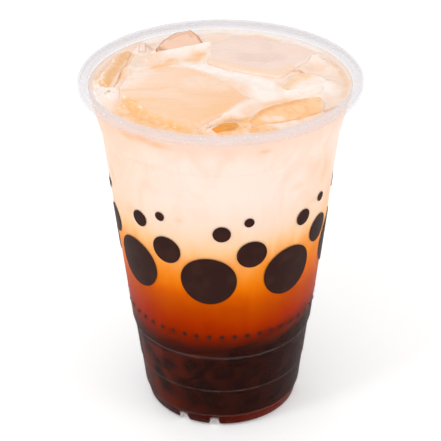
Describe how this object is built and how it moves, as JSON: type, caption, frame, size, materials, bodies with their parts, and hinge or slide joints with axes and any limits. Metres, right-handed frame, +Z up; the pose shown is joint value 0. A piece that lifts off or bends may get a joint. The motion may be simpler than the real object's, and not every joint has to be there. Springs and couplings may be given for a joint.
{
  "type": "bubble tea",
  "caption": "Iced milk tea with dark pearls in a clear tapered takeaway cup with a rolled rim, full to just under the rim, ice showing at the top.",
  "frame": {"origin": "middle of the cup's foot, on the surface that it stands on", "axes": "+Z up along the cup's axis, -Y the front side with the pair of foot notches left of it, +X to the right of the front"},
  "size_m": [0.095, 0.095, 0.126],
  "materials": {
    "cup_plastic": "thin clear plastic, glossy, slightly hazy at the rim",
    "milk": "cream milk, wet",
    "tea": "amber tea with milk mixing in, seen through the cup",
    "pearls": "dark cooked tapioca pearls in brown syrup, wet",
    "ice": "clear melting ice with a film of milk, wet"
  },
  "bodies": {
    "root": {"cup": "cup_plastic", "milk": "milk", "tea": "tea", "pearls": "pearls", "ice_left": "ice", "ice_chip": "ice", "ice_back_left": "ice", "ice_middle": "ice", "ice_back": "ice", "ice_right": "ice", "ice_front_right": "ice", "ice_splinter": "ice"}
  },
  "joints": []
}
